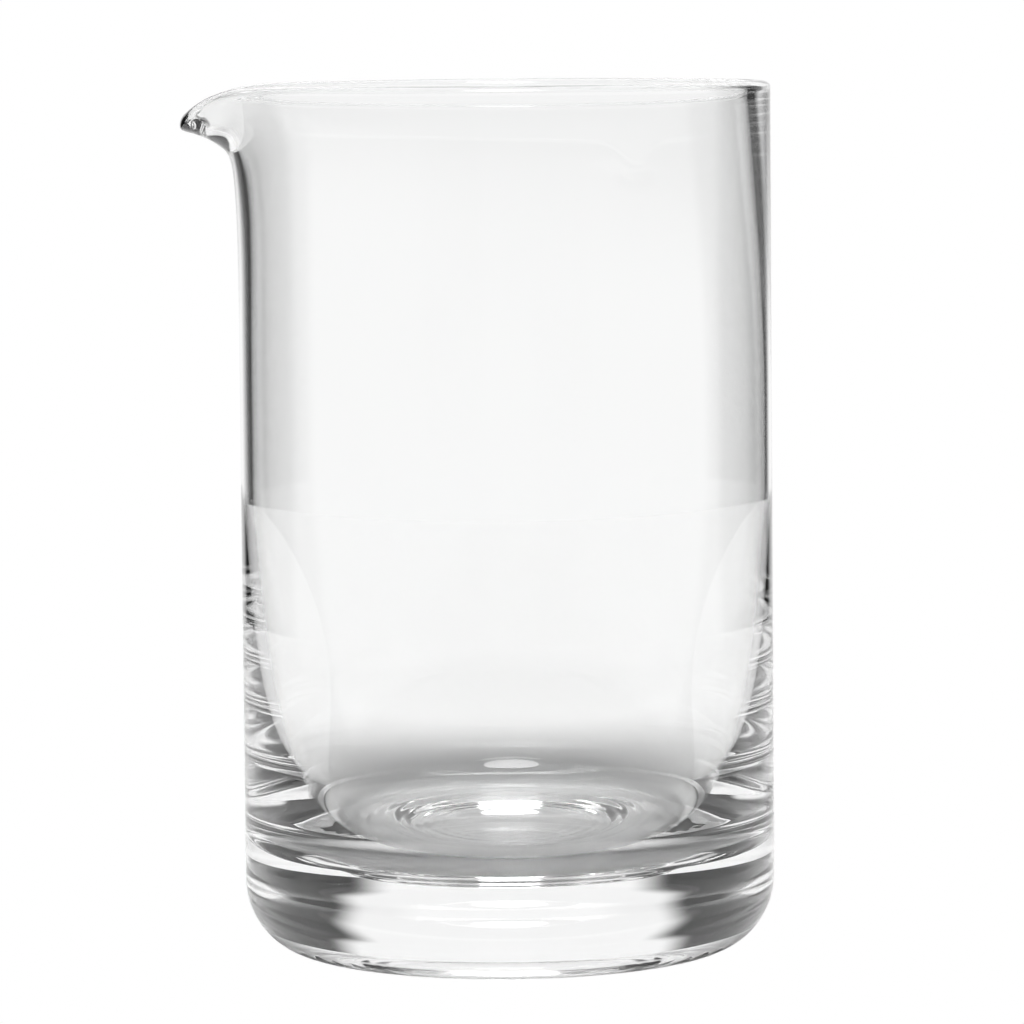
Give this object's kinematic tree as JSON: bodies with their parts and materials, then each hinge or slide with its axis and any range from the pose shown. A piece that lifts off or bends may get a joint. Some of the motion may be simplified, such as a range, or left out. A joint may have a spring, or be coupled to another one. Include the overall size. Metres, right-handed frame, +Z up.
{
  "type": "mixing glass",
  "caption": "Straight-sided clear glass vessel for stirring drinks, with a heavy rounded base, a thin wall, a fire-polished rim and a pulled pouring lip.",
  "frame": {"origin": "centre of the flat underside that the glass stands on, on the axis of the round body", "axes": "+Z up along the axis of the body; -X towards the pouring lip; +Y completes the right-handed frame, and the glass is symmetric across the XZ plane"},
  "size_m": [0.0995, 0.09, 0.147],
  "materials": {
    "clear_glass": "clear, fire-polished"
  },
  "bodies": {
    "root": {"glass_vessel": "clear_glass"}
  },
  "joints": []
}
